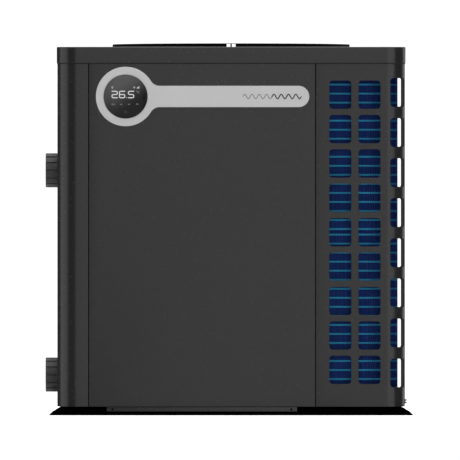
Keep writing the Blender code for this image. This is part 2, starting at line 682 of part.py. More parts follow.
def build_refrigerant_circuit(copper, brass, plastic):
    """The reversing valve, the expansion valve and the pipes between the four main pieces."""
    length = 0.055
    profile = [(0.012, -length), (0.016, -length + 0.004), (0.016, length - 0.004), (0.012, length)]
    turned("four_way_valve", profile, brass, 16, place=VALVE, along="X")
    beside = VALVE - Vector((0, 0.0290, 0))
    turned("valve_solenoid", [(0.0122, -0.015), (0.0122, 0.015)], plastic, 16, place=beside, along="X")
    under = VALVE.z - 0.0164
    lead_z = EXCHANGER_TOP + 0.0264
    run_z = 0.642
    pipe(
        "discharge_pipe",
        [
            COMPRESSOR + Vector((0.030, 0, 0.4040)),
            COMPRESSOR + Vector((0.030, 0, 0.585)),
            VALVE + Vector((0, 0, 0.065)),
            VALVE + Vector((0, 0, 0.0164)),
        ],
        0.0048,
        copper,
    )
    pipe(
        "suction_pipe",
        [
            Vector((VALVE.x, VALVE.y, under)),
            Vector((VALVE.x, VALVE.y, 0.450)),
            Vector((ACCUMULATOR.x, ACCUMULATOR.y, 0.450)),
            ACCUMULATOR + Vector((0, 0, 0.3564)),
        ],
        0.0064,
        copper,
    )
    gas_lead = EXCHANGER + Vector((0.060, 0, lead_z))
    pipe(
        "condenser_gas_pipe",
        [
            Vector((VALVE.x - 0.032, VALVE.y, under)),
            Vector((VALVE.x - 0.032, VALVE.y, 0.478)),
            Vector((-0.160, 0.040, 0.478)),
            Vector((-0.160, 0.040, run_z)),
            Vector((gas_lead.x, gas_lead.y, run_z)),
            gas_lead,
        ],
        0.0064,
        copper,
        bend=0.014,
    )
    pipe(
        "evaporator_gas_pipe",
        [
            Vector((VALVE.x + 0.032, VALVE.y, under)),
            Vector((VALVE.x + 0.032, VALVE.y, 0.478)),
            Vector((VALVE.x + 0.032, 0.050, 0.478)),
            Vector((HEADER.x, 0.170, 0.478)),
            Vector((HEADER.x, 0.290, 0.478)),
            Vector((HEADER.x, 0.290, 0.630)),
            Vector((HEADER.x, HEADER.y, 0.630)),
            HEADER + Vector((0, 0, 0.6104)),
        ],
        0.0064,
        copper,
        bend=0.016,
    )
    liquid_lead = EXCHANGER + Vector((0, 0, lead_z))
    pipe(
        "liquid_pipe",
        [
            liquid_lead,
            Vector((liquid_lead.x, liquid_lead.y, run_z)),
            Vector((liquid_lead.x, 0.240, run_z)),
            Vector((EXPANSION.x, EXPANSION.y, run_z)),
            EXPANSION + Vector((0, 0, 0.0404)),
        ],
        0.0048,
        copper,
        bend=0.014,
    )
    profile = [(0.007, -0.040), (0.014, -0.034), (0.014, 0.020), (0.007, 0.026), (0.007, 0.040)]
    valve = turned("expansion_valve", profile, brass, 16, place=EXPANSION)
    route = [
        EXPANSION + Vector((0, 0, -0.035)),
        EXPANSION + Vector((0, 0, -0.100)),
        Vector((HEADER.x - 0.030, HEADER.y, EXPANSION.z - 0.100)),
    ]
    boolean(valve, pipe("expansion_outlet", route, 0.0040, None), "UNION")


def build_exchanger(shell_paint, titanium):
    """The water vessel: an upright shell with two side ports, a cap and a titanium coil inside it."""
    low = PAN_LEDGE + CLEAR
    wall = EXCHANGER_R - 0.006
    profile = [(EXCHANGER_R, low), (EXCHANGER_R, EXCHANGER_TOP), (wall, EXCHANGER_TOP), (wall, low + 0.008)]
    shell = turned("exchanger_shell", profile, shell_paint, 32, place=EXCHANGER)
    for name, z in (("inlet_mouth", INLET_Z), ("outlet_mouth", OUTLET_Z)):
        bore(shell, name, 0.0240, 0.05, 0.15, EXCHANGER + Vector((0, 0, z)), "-X", 24)
    top = EXCHANGER_TOP + CLEAR
    profile = [(0.101, top), (0.101, top + 0.010), (0.094, top + 0.018), (0.040, top + 0.0196)]
    cap = turned("exchanger_cap", profile, shell_paint, 32, place=EXCHANGER)
    for name, x in (("gas_lead_hole", 0.060), ("liquid_lead_hole", 0.0)):
        bore(cap, name, 0.0076, 0.5, 0.7, EXCHANGER + Vector((x, 0, 0)), count=12)
    turns, per_turn = 4, 10
    low_z, high_z = 0.120, 0.540
    path = [Vector((0, 0, EXCHANGER_TOP + 0.026)), Vector((0, 0, low_z - 0.020)), Vector((0.030, 0, low_z - 0.028))]
    for i in range(turns * per_turn + 1):
        angle = 2 * math.pi * i / per_turn
        height = low_z - 0.010 + (high_z - low_z) * i / (turns * per_turn)
        path.append(Vector((0.060 * math.cos(angle), 0.060 * math.sin(angle), height)))
    path.append(Vector((0.060, 0.0, EXCHANGER_TOP + 0.026)))
    loft("titanium_coil", tube_loops(path, 0.0060, 4), titanium, place=EXCHANGER)


def gear_outline(root, tip, lugs, share=0.45):
    """A round outline with raised lugs, in equal steps."""
    points = []
    pitch = 2 * math.pi / lugs
    for i in range(lugs):
        start = i * pitch
        rise = pitch * share
        points += [(r, start + rise * t) for r, t in ((root, 0.0), (tip, 0.08), (tip, 0.92), (root, 1.0))]
        points.append((root, start + (pitch + rise) / 2))
    return [(r * math.cos(a), r * math.sin(a)) for r, a in points]


def scaled(outline, share):
    return [(x * share, y * share) for x, y in outline]


def build_flow_switch(plastic):
    """The switch on the inlet port, between the side panel and the water vessel."""
    low = Vector((-0.3970, UNION_Y - 0.012, INLET_Z + PORT_R + CLEAR))
    block("flow_switch", low, low + Vector((0.0135, 0.024, 0.030)), plastic)


def build_union(side, z, plastic, rubber):
    """One water connection: the threaded port, the seal, the pipe tail and the nut that holds them."""
    place = (0, UNION_Y, z)
    port_end = 0.4115
    profile = [
        (PORT_R, -EXCHANGER.x),
        (PORT_R, port_end - 0.001),
        (PORT_R - 0.001, port_end),
        (0.0245, port_end),
        (0.0245, -EXCHANGER.x),
    ]
    port = turned(f"{side}_port", profile, plastic, ring=True, place=place, along="-X")
    around = turned(
        f"{side}_port_trim",
        [(EXCHANGER_R + CLEAR, -0.1), (EXCHANGER_R + CLEAR, 0.1)],
        None,
        32,
        place=EXCHANGER + Vector((0, 0, z)),
    )
    boolean(port, around)
    near, far = port_end + CLEAR, port_end + 0.0030
    seal = [(0.0250, near), (0.0310, near), (0.0310, far), (0.0250, far)]
    turned(f"{side}_seal", seal, rubber, ring=True, place=place, along="-X")
    flange = port_end + 0.0030 + CLEAR
    profile = [
        (0.0313, flange),
        (0.0313, flange + 0.0045),
        (0.0285, flange + 0.0045),
        (0.0285, -UNION_TIP_X - 0.0004),
        (PIPE_SOCKET_R, -UNION_TIP_X - 0.0004),
        (PIPE_SOCKET_R, flange),
    ]
    turned(f"{side}_tail", profile, plastic, ring=True, place=place, along="-X")
    outline = gear_outline(NUT_ROOT_R, NUT_LUG_R, NUT_LUGS, NUT_LUG_SHARE)
    near, far = -NUT_INNER_X, -UNION_TIP_X
    loops = [
        flat_loop(scaled(outline, 0.965), near),
        flat_loop(outline, near + 0.0015),
        flat_loop(outline, far - 0.0015),
        flat_loop(scaled(outline, 0.965), far),
    ]
    nut = loft(f"{side}_union_nut", loops, plastic, place=place, along="-X")
    bore(nut, f"{side}_thread_bore", 0.0318, near - 0.01, flange + 0.0050, place, "-X")
    bore(nut, f"{side}_end_bore", 0.0289, near - 0.01, far + 0.01, place, "-X")


# ---------------------------------------------------------------- electrical
def build_control_box(steel, board_green, aluminium):
    """The inverter's box behind the front panel: a tray, its cover, the board and the heat sink."""
    wall = 0.0015
    inner_low, inner_high = BOX_LOW + Vector((wall, 0, wall)), BOX_HIGH - Vector((wall, 0, wall))

    def frame_loop(low, high, y):
        return [Vector((x, y, z)) for x, z in ((low.x, low.z), (high.x, low.z), (high.x, high.z), (low.x, high.z))]

    loops = [
        frame_loop(BOX_LOW, BOX_HIGH, BOX_HIGH.y),
        frame_loop(BOX_LOW, BOX_HIGH, BOX_LOW.y),
        frame_loop(inner_low, inner_high, BOX_LOW.y),
        frame_loop(inner_low, inner_high, BOX_HIGH.y - wall),
    ]
    loft("control_box", loops, steel)
    cover = Vector((0, -CLEAR - wall, 0))
    block("control_box_cover", BOX_LOW + cover, (BOX_HIGH.x, BOX_LOW.y - CLEAR, BOX_HIGH.z), steel)
    board_low = (BOX_LOW.x + 0.030, BOX_HIGH.y - 0.0120, BOX_LOW.z + 0.030)
    board_high = (BOX_HIGH.x - 0.110, BOX_HIGH.y - 0.0104, BOX_HIGH.z - 0.030)
    block("inverter_board", board_low, board_high, board_green)
    near = BOX_HIGH.y + CLEAR
    depth, fins, half = 0.026, 14, 0.100
    pitch = 2 * half / (fins - 0.5)
    points = [(half, near), (-half, near)]
    for i in range(fins):
        x = -half + i * pitch
        points += [(x, near + depth), (x + pitch / 2, near + depth)]
        if i < fins - 1:
            points += [(x + pitch / 2, near + 0.004), (x + pitch, near + 0.004)]
    points[-1] = (half, near + depth)
    prism("heat_sink", points, COVER_Z + 0.008, SHROUD_BOTTOM - 0.014, aluminium)


def build_cable_gland(plastic):
    """The power cable's gland, low on the rear service panel."""
    profile = [
        (0.0055, -0.015),
        (0.0100, -0.015),
        (0.0100, 0.0003),
        (0.0140, 0.0003),
        (0.0140, 0.0070),
        (0.0125, 0.0080),
        (0.0125, 0.0160),
        (0.0092, 0.0195),
        (0.0055, 0.0195),
    ]
    turned("power_cable_gland", profile, plastic, 16, ring=True, place=GLAND, along="Y")


def main():
    clear_scene()
    casing = material("charcoal_paint", (0.042, 0.042, 0.042), 0.45, 0.1)
    base = material("black_base", (0.004, 0.004, 0.004), 0.7)
    black = material("black_plastic", (0.012, 0.012, 0.012), 0.5)
    union_plastic = material("union_plastic", (0.055, 0.055, 0.055), 0.5)
    silver = material("silver_trim", (0.50, 0.50, 0.50), 0.35, 0.3)
    glass = material("dark_glass", (0.01, 0.01, 0.01), 0.08)
    fins = material("blue_fins", (0.01, 0.05, 0.25), 0.4, 0.4)
    zinc = material("zinc_steel", (0.55, 0.56, 0.57), 0.4, 0.9)
    steel = material("bright_steel", (0.6, 0.6, 0.6), 0.25, 1.0)
    copper = material("copper", (0.72, 0.30, 0.17), 0.3, 1.0)
    brass = material("brass", (0.70, 0.50, 0.22), 0.3, 1.0)
    aluminium = material("aluminium", (0.65, 0.66, 0.67), 0.35, 1.0)
    titanium = material("titanium", (0.45, 0.43, 0.41), 0.3, 1.0)
    rubber = material("rubber", (0.02, 0.02, 0.02), 0.8)
    vessel = material("grey_pvc", (0.16, 0.17, 0.18), 0.5)
    board = material("board_green", (0.02, 0.16, 0.06), 0.5)

    build_base(base)
    build_panels(casing)
    build_grilles(casing)
    build_lock_strip(casing, steel)
    build_lid(casing)
    build_guard(black)
    build_shroud(black)
    build_controller(silver, glass, black)
    build_earth_terminal(black)
    build_coil(fins, zinc, copper)
    build_fan(black, zinc, steel)
    build_partition(zinc)
    build_compressor(black, zinc, rubber)
    build_refrigerant_circuit(copper, brass, black)
    build_exchanger(vessel, titanium)
    build_flow_switch(board)
    build_union("inlet", INLET_Z, union_plastic, rubber)
    build_union("outlet", OUTLET_Z, union_plastic, rubber)
    build_control_box(zinc, board, aluminium)
    build_cable_gland(black)


main()
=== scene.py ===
"""The looks of the pool heat pump: fine meshes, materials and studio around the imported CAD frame."""

import json
import math

import bmesh
import bpy
from mathutils import Matrix, Vector


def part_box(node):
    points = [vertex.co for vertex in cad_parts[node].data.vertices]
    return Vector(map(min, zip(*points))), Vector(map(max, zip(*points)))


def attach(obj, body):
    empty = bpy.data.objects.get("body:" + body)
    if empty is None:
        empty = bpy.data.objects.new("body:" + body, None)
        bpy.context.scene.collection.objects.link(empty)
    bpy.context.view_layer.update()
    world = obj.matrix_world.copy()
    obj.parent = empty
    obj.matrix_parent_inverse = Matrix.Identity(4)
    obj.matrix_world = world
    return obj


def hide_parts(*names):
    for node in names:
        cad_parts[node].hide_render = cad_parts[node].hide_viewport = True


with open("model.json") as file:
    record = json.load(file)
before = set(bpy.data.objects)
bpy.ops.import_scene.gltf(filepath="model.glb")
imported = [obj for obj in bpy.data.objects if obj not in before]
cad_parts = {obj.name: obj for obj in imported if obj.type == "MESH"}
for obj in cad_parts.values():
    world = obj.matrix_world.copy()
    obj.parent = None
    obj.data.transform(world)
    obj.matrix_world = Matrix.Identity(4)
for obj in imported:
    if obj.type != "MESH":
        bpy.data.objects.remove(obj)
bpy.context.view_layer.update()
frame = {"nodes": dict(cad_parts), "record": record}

CABINET = "cabinet"
SHEET = 0.0012  # thickness of the folded steel
FOLD = 0.0015  # outside radius of a folded panel edge
TIGHT_FOLD = SHEET + 0.0002  # the same at the seam between the side and rear sheets
LID_GAP = 0.0022  # height of the dark line between the lid's skirt and the panels; a black strip fills it as painted shadow
CORNER_R = 0.046  # outside radius of the cabinet's upright corners
RETURN = 0.012  # how far a panel's upright edge is folded in
SIDE_RETURN = 0.0085
REAR_RETURN = 0.0030
FAN_OPENING_R = 0.2680  # the opening in the lid
CONTROLLER_HOLE_R = 0.0440
PORT_HOLE_R = 0.034
GLAND_HOLE_R = 0.0104
HOLE_R = 0.0080  # corner radius of the air holes
COLUMN_PITCH = 0.067
FRONT_COLUMN_X = 0.2512  # the front's first column of air holes
FRONT_HOLE = (0.0508, 0.0653)  # width and height
SIDE_HOLE = (0.0508, 0.0667)
CORNER_HOLE = (0.0460, 0.0667)
FRONT_ROWS = (9, 0.7374, 0.0791)  # count, height of the top row's centre, pitch
SIDE_ROWS = (8, 0.7427, 0.0922)
REAR_ROWS = (8, 0.7483, 0.0938)
COIL_BEND_R = 0.100
NUT_TURN = 15.4  # degrees round the axis at which a union nut's first rib starts
ON_SURFACE = 0.00001  # how far a print's middle plane stands off what it is printed on
PRINT_DEPTH = 0.00012  # half thickness of a printed or lit line
SCREW_GAP = 0.00005  # between a screw's head and its sheet

BODY = -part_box("front_panel")[0].y
WALL_LOW, WALL_HIGH = (corner.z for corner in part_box("front_panel"))


# ---------------------------------------------------------------- plain geometry
def arc(centre, radius, start, end, steps):
    """Points on an arc whose ends are given in degrees."""
    turns = [math.radians(start + (end - start) * i / steps) for i in range(steps + 1)]
    return [(centre[0] + radius * math.cos(t), centre[1] + radius * math.sin(t)) for t in turns]


def rounded_rect(half_w, half_h, radius, steps=6):
    points = []
    for side, up, start in ((1, 1, 0), (-1, 1, 90), (-1, -1, 180), (1, -1, 270)):
        centre = (side * (half_w - radius), up * (half_h - radius))
        points += arc(centre, radius, start, start + 90, steps)
    return points


def ring_points(centre, radius, start=0, end=360, steps=20):
    """An arc, or a whole circle without its doubled last point."""
    points = arc(centre, radius, start, end, steps)
    return points[:-1] if end - start == 360 else points


def rectangle(half_w, half_h, centre=(0, 0)):
    return [(centre[0] + side * half_w, centre[1] + up * half_h)
            for side, up in ((-1, -1), (1, -1), (1, 1), (-1, 1))]


def circle(radius, z, count):
    turns = [2 * math.pi * i / count for i in range(count)]
    return [Vector((radius * math.cos(t), radius * math.sin(t), z)) for t in turns]


def flat_loop(points, z):
    return [Vector((x, y, z)) for x, y in points]


def skin(bm, loops, ring=False):
    """Adds quads between loops of equal length. It caps the ends, or joins them when ring is set."""
    rows = [[bm.verts.new(point) for point in loop] for loop in loops]
    count = len(rows[0])
    pairs = list(zip(rows, rows[1:]))
    if ring:
        pairs.append((rows[-1], rows[0]))
    for low, high in pairs:
        for i in range(count):
            j = (i + 1) % count
            bm.faces.new((low[i], low[j], high[j], high[i]))
    if not ring:
        bm.faces.new(rows[0][::-1])
        bm.faces.new(rows[-1])
    return bm


def solid(loops, ring=False):
    bm = skin(bmesh.new(), loops, ring)
    bmesh.ops.recalc_face_normals(bm, faces=bm.faces)
    return bm


def prism(outline, low, high):
    return solid([flat_loop(outline, low), flat_loop(outline, high)])


def turned(profile, count=96, ring=False):
    return solid([circle(r, z, count) for r, z in profile], ring)


def filleted(points, radii, steps=5):
    """The path in plan with each inner bend rounded by its own radius."""
    points = [Vector(p) for p in points]
    path = [points[0]]
    for before, here, after, radius in zip(points, points[1:], points[2:], radii):
        first, second = (before - here).normalized(), (after - here).normalized()
        half = first.angle(second) / 2
        reach = radius / math.tan(half)
        centre = here + (first + second).normalized() * radius / math.sin(half)
        start, end = here + first * reach - centre, here + second * reach - centre
        turn = start.angle_signed(end)
        count = max(steps, int(radius / 0.0018))
        for i in range(count + 1):
            path.append(centre + Matrix.Rotation(-turn * i / count, 2) @ start)
    return path + [points[-1]]


def offset_outline(path, thick):
    """A closed outline: the path, and the same path moved to its left by thick."""
    path = [Vector(p) for p in path]
    inner = []
    for i, point in enumerate(path):
        before = (point - path[i - 1]).normalized() if i else None
        after = (path[i + 1] - point).normalized() if i + 1 < len(path) else None
        before = before or after
        after = after or before
        normal = Vector((-before.y - after.y, before.x + after.x)).normalized()
        inner.append(point + normal * thick / normal.dot(Vector((-after.y, after.x))))
    return [tuple(p) for p in path] + [tuple(p) for p in reversed(inner)]


def moved(bm, place=(0, 0, 0), along="Z", turn=0.0):
    """The mesh turned about its local Z, with that axis then laid along the one given, and moved."""
    ways = {"Z": (0, 0, 0), "-X": (0, -90, 0), "X": (0, 90, 0), "Y": (-90, 0, 0), "-Y": (90, 0, 0)}
    matrix = Matrix.Translation(place)
    for angle, axis in zip(ways[along], "XYZ"):
        matrix = matrix @ Matrix.Rotation(math.radians(angle), 4, axis)
    bmesh.ops.transform(bm, matrix=matrix @ Matrix.Rotation(turn, 4, "Z"), verts=bm.verts)
    return bm


def mesh_object(name, bm):
    bmesh.ops.recalc_face_normals(bm, faces=bm.faces)
    mesh = bpy.data.meshes.new(name)
    bm.to_mesh(mesh)
    bm.free()
    item = bpy.data.objects.new(name, mesh)
    bpy.context.scene.collection.objects.link(item)
    return item


def cut(bm, tool):
    """The mesh with the tool's shape taken away."""
    first, second = mesh_object("first", bm), mesh_object("second", tool)
    change = first.modifiers.new("cut", "BOOLEAN")
    change.object = second
    bpy.context.view_layer.update()
    result = bmesh.new()
    result.from_mesh(first.evaluated_get(bpy.context.evaluated_depsgraph_get()).to_mesh())
    for item in (first, second):
        bpy.data.objects.remove(item)
    return result


def bored(bm, radius, low, high, count=96):
    """The mesh with a round hole along its local Z."""
    return cut(bm, turned([(radius, low), (radius, high)], count))


def cross_slotted(head, half_length, half_width, floor, top):
    """A screw's head with the two slots of a cross."""
    for a, b in ((half_length, half_width), (half_width, half_length)):
        head = cut(head, prism(rectangle(a, b), floor, top))
    return head


def centre_of(node):
    low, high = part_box(node)
    return (low + high) / 2


def piece(name, bm, paint, stands_for=(), body=CABINET, bevel=0.0, sharp=32):
    """A finished piece: smooth shaded, painted, and riding on its CAD body."""
    item = mesh_object(name, bm)
    item.data.shade_smooth()
    if bevel:
        change = item.modifiers.new("edges", "BEVEL")
        change.width, change.segments, change.harden_normals = bevel, 3, True
        change.limit_method, change.angle_limit = "ANGLE", math.radians(40)
        bpy.context.view_layer.update()
        depsgraph = bpy.context.evaluated_depsgraph_get()
        mesh = bpy.data.meshes.new_from_object(item.evaluated_get(depsgraph))
        item.modifiers.clear()
        item.data = mesh
    else:
        item.data.set_sharp_from_angle(angle=math.radians(sharp))
    item.data.materials.clear()
    item.data.materials.append(paint)
    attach(item, body)
    if stands_for:
        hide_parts(*stands_for)
    return item


# ---------------------------------------------------------------- materials
def principled(name, colour, roughness, metallic=0.0, specular=0.5):
    made = bpy.data.materials.new(name)
    made.use_nodes = True
    shader = made.node_tree.nodes["Principled BSDF"]
    shader.inputs["Base Color"].default_value = (*colour, 1.0)
    shader.inputs["Roughness"].default_value = roughness
    shader.inputs["Metallic"].default_value = metallic
    shader.inputs["Specular IOR Level"].default_value = specular
    return made, made.node_tree, shader


def noise(tree, scale, detail=3.0, stretch=(1, 1, 1)):
    """Noise in object space, in features per metre, optionally stretched along an axis."""
    where = tree.nodes.new("ShaderNodeTexCoord")
    mapping = tree.nodes.new("ShaderNodeMapping")
    mapping.inputs["Scale"].default_value = stretch
    texture = tree.nodes.new("ShaderNodeTexNoise")
    texture.inputs["Scale"].default_value = scale
    texture.inputs["Detail"].default_value = detail
    tree.links.new(where.outputs["Object"], mapping.inputs["Vector"])
    tree.links.new(mapping.outputs["Vector"], texture.inputs["Vector"])
    return texture.outputs["Fac"]


def ranged(tree, value, low, high, start=0.3, end=0.7):
    """The value's range from start to end, mapped to low and high. The defaults suit a noise's output."""
    node = tree.nodes.new("ShaderNodeMapRange")
    node.inputs["From Min"].default_value = start
    node.inputs["From Max"].default_value = end
    node.inputs["To Min"].default_value = low
    node.inputs["To Max"].default_value = high
    tree.links.new(value, node.inputs["Value"])
    return node.outputs["Result"]


def mixed(tree, value, first, second):
    node = tree.nodes.new("ShaderNodeMix")
    node.data_type = "RGBA"
    node.inputs["A"].default_value = (*first, 1.0)
    node.inputs["B"].default_value = (*second, 1.0)
    tree.links.new(value, node.inputs["Factor"])
    return node.outputs["Result"]


def bumped(tree, shader, value, depth):
    node = tree.nodes.new("ShaderNodeBump")
    node.inputs["Strength"].default_value = 1.0
    node.inputs["Distance"].default_value = depth
    tree.links.new(value, node.inputs["Height"])
    tree.links.new(node.outputs["Normal"], shader.inputs["Normal"])


def surface(name, colour, roughness, metallic=0.0, specular=0.5, grain=600, depth=0.00001,
            spread=0.08, shift=0.03, stretch=(1, 1, 1)):
    """Paint, plastic or metal: a fine grain in the surface, and slow changes of colour and gloss."""
    made, tree, shader = principled(name, colour, roughness, metallic, specular)
    cloud = noise(tree, 9.0, 4.0)
    lighter = [c * (1 + spread) for c in colour]
    darker = [c * (1 - spread) for c in colour]
    tree.links.new(mixed(tree, ranged(tree, cloud, 0, 1), darker, lighter), shader.inputs["Base Color"])
    fine = noise(tree, grain, 2.0, stretch)
    rough = ranged(tree, noise(tree, grain / 12, 3.0, stretch), roughness - shift, roughness + shift)
    tree.links.new(rough, shader.inputs["Roughness"])
    if depth:
        bumped(tree, shader, fine, depth)
    return made


def controller_glass_paint():
    """Black glass over a dark mask, with a painted reflection that makes it lighter at the upper left."""
    made, tree, shader = principled("controller_black_glass", (0.01, 0.01, 0.01), 0.12, specular=0.30)
    centre = centre_of("controller_glass")
    where = tree.nodes.new("ShaderNodeTexCoord")
    split = tree.nodes.new("ShaderNodeSeparateXYZ")
    tree.links.new(where.outputs["Object"], split.inputs["Vector"])
    slope = tree.nodes.new("ShaderNodeMath")
    slope.operation = "MULTIPLY_ADD"
    lean = -0.7  # the painted reflection fades downwards, and somewhat less to the right
    tree.links.new(split.outputs["X"], slope.inputs[0])
    slope.inputs[1].default_value = lean
    tree.links.new(split.outputs["Z"], slope.inputs[2])
    middle = centre.z + lean * centre.x
    painted_reflection = ranged(tree, slope.outputs["Value"], 0, 1, middle - 0.035, middle + 0.045)
    painted_reflection.node.interpolation_type = "SMOOTHSTEP"
    # the glass's dark colour, and the lighter tone of the painted reflection
    dark, light = (0.001, 0.001, 0.001), (0.108, 0.108, 0.108)
    tree.links.new(mixed(tree, painted_reflection, dark, light), shader.inputs["Base Color"])
    smudge = ranged(tree, noise(tree, 60, 4.0), 0.09, 0.16)
    tree.links.new(smudge, shader.inputs["Roughness"])
    return made


def glowing(name, colour, strength):
    """A lit part of the display, with a slight unevenness."""
    made, tree, shader = principled(name, (0.02, 0.02, 0.02), 0.4, specular=0.1)
    shader.inputs["Emission Color"].default_value = (*colour, 1.0)
    level = ranged(tree, noise(tree, 400, 2.0), strength * 0.94, strength)
    tree.links.new(level, shader.inputs["Emission Strength"])
    return made


def fin_paint():
    """Blue coated aluminium fins, with rows that differ a little in tone."""
    made, tree, shader = principled("blue_fin_coat", FIN_DARK, 0.5, specular=0.0)
    streak = noise(tree, 260, 2.0, (1, 1, 0.02))
    tone = mixed(tree, ranged(tree, streak, 0, 1), FIN_DARK, FIN_LIGHT)
    tree.links.new(tone, shader.inputs["Base Color"])
    rough = ranged(tree, noise(tree, 90, 3.0), 0.38, 0.55)
    tree.links.new(rough, shader.inputs["Roughness"])
    return made


FIN_DARK = (0.018, 0.037, 0.152)
FIN_LIGHT = (0.027, 0.066, 0.285)
CHARCOAL = surface("charcoal_powder_coat", (0.0200, 0.0200, 0.0200), 0.27, grain=1400, depth=0.000002,
                   spread=0.03, shift=0.005)
BASE_BLACK = surface("black_base_plastic", (0.0006, 0.0006, 0.0006), 0.9, specular=0.0, grain=500)
BLACK = surface("black_plastic", (0.002, 0.002, 0.002), 0.6, specular=0.05, grain=700)
UNION = surface("union_grey_plastic", (0.115, 0.115, 0.115), 0.45, specular=0.20, grain=500)
SILVER = surface("silver_badge_coat", (0.71, 0.71, 0.71), 0.45, 0.5, 0.3, grain=500, depth=0.000002,
                 spread=0.02, shift=0.01, stretch=(0.06, 1, 1))
GLASS = controller_glass_paint()
DIGIT = glowing("display_white", (1.0, 1.0, 1.0), 0.72)
ICON_BRIGHT = glowing("display_light_grey", (0.55, 0.56, 0.57), 0.85)
ICON = glowing("display_grey", (0.30, 0.31, 0.32), 0.85)
ICON_FAINT = glowing("display_faint", (0.12, 0.12, 0.13), 0.35)
MOTIF = surface("dark_print", (0.055, 0.055, 0.055), 0.6, specular=0.2)
FINS = fin_paint()
# painted highlight: the bright cyan of the tube collars' highlight, given as a matte colour
TUBE_ROW_HIGHLIGHT = surface("cyan_tube_collar_highlight", (0.029, 0.27, 0.45), 0.5, specular=0.0, grain=250, spread=0.12)
ZINC = surface("zinc_steel", (0.25, 0.255, 0.26), 0.50, 0.8, grain=160, depth=0.00001, spread=0.18)
STEEL = surface("bright_steel", (0.55, 0.55, 0.56), 0.28, 1.0, grain=900, stretch=(1, 1, 0.05))
BLACK_STEEL = surface("black_steel", (0.007, 0.007, 0.007), 0.40, specular=0.25, grain=700)
COPPER = surface("copper_tube", (0.62, 0.26, 0.14), 0.32, 1.0, grain=300, spread=0.2)
BRASS = surface("brass_body", (0.60, 0.43, 0.18), 0.34, 1.0, grain=400, spread=0.15)
ALUMINIUM = surface("extruded_aluminium", (0.58, 0.59, 0.60), 0.36, 1.0, grain=900, stretch=(1, 1, 0.04))
TITANIUM = surface("titanium_tube", (0.36, 0.34, 0.32), 0.30, 1.0, grain=300)
RUBBER = surface("black_rubber", (0.012, 0.012, 0.012), 0.8, specular=0.3, grain=500)
PVC = surface("grey_pvc", (0.13, 0.14, 0.15), 0.45, grain=400)
BOARD = surface("circuit_board", (0.015, 0.12, 0.045), 0.45, grain=350, spread=0.3)

SLOT_PAINTS = {
    "charcoal_paint": CHARCOAL,
    "black_base": BASE_BLACK,
    "black_plastic": BLACK,
    "black_steel": BLACK_STEEL,
    "union_plastic": UNION,
    "silver_trim": SILVER,
    "dark_glass": GLASS,
    "blue_fins": FINS,
    "zinc_steel": ZINC,
    "bright_steel": STEEL,
    "copper": COPPER,
    "brass": BRASS,
    "aluminium": ALUMINIUM,
    "titanium": TITANIUM,
    "rubber": RUBBER,
    "grey_pvc": PVC,
    "board_green": BOARD,
}


def paint_frame():
    """Every CAD node gets the material of its slot."""
    for row in frame["record"]["subparts"]:
        node = frame["nodes"][row["node"]]
        for holder in node.material_slots:
            holder.material = SLOT_PAINTS[row["material_slot"]]


# ---------------------------------------------------------------- casing
def holes(shape, centres, normal):
    """One mesh of round-cornered prisms, each through a wall with that normal."""
    normal = Vector(normal).normalized()
    across = Vector((0, 0, 1)).cross(normal)
    reach = normal * 0.012
    outline = rounded_rect(shape[0] / 2, shape[1] / 2, HOLE_R)
    bm = bmesh.new()
    for centre in centres:
        flat = [Vector(centre) + across * u + Vector((0, 0, v)) for u, v in outline]
        skin(bm, [[p - reach for p in flat], [p + reach for p in flat]])
    return bm


def row_heights(rows):
    count, top, pitch = rows
    return [top - i * pitch for i in range(count)]


def columns(count, middle=0.0):
    return [middle + (i - (count - 1) / 2) * COLUMN_PITCH for i in range(count)]


def sheet(path, radii):
    outline = offset_outline(filleted(path, radii), SHEET)
    return prism(outline, WALL_LOW, WALL_HIGH)


def pierced(panel, radius, centre, along):
    """The panel with a round hole at centre, along an axis."""
    reach = 0.02
    return cut(panel, moved(turned([(radius, -reach), (radius, reach)]), centre, along))


def build_plain_panels():
    inner = -BODY + RETURN
    low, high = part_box("front_panel")
    path = [(low.x, inner), (low.x, -BODY), (high.x, -BODY), (high.x, inner)]
    centre = centre_of("controller_housing")
    front = pierced(sheet(path, (FOLD, FOLD)), CONTROLLER_HOLE_R, (centre.x, -BODY, centre.z), "Y")
    piece("front_panel_sheet", front, CHARCOAL, ["front_panel"])

    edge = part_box("left_side_panel")[1].x
    path = [(edge, -inner), (edge, BODY), (-BODY, BODY), (-BODY, -BODY), (edge, -BODY), (edge, inner)]
    side = sheet(path, (FOLD, CORNER_R, CORNER_R, FOLD))
    for name in ("inlet_tail", "outlet_tail"):
        centre = centre_of(name)
        side = pierced(side, PORT_HOLE_R, (-BODY, centre.y, centre.z), "X")
    piece("left_panel_sheet", side, CHARCOAL, ["left_side_panel"])

    low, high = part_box("rear_service_panel")
    path = [(high.x, -inner), (high.x, BODY), (low.x, BODY), (low.x, -inner)]
    centre = centre_of("power_cable_gland")
    rear = pierced(sheet(path, (FOLD, FOLD)), GLAND_HOLE_R, (centre.x, BODY, centre.z), "Y")
    piece("rear_panel_sheet", rear, CHARCOAL, ["rear_service_panel"])


def build_grille(name, node, path, radii, *cuts):
    """A folded sheet with air holes. Each cut gives their shape, their centres and which way they face."""
    made = sheet(path, radii)
    for shape, centres, normal in cuts:
        made = cut(made, holes(shape, centres, normal))
    piece(name, made, CHARCOAL, [node])


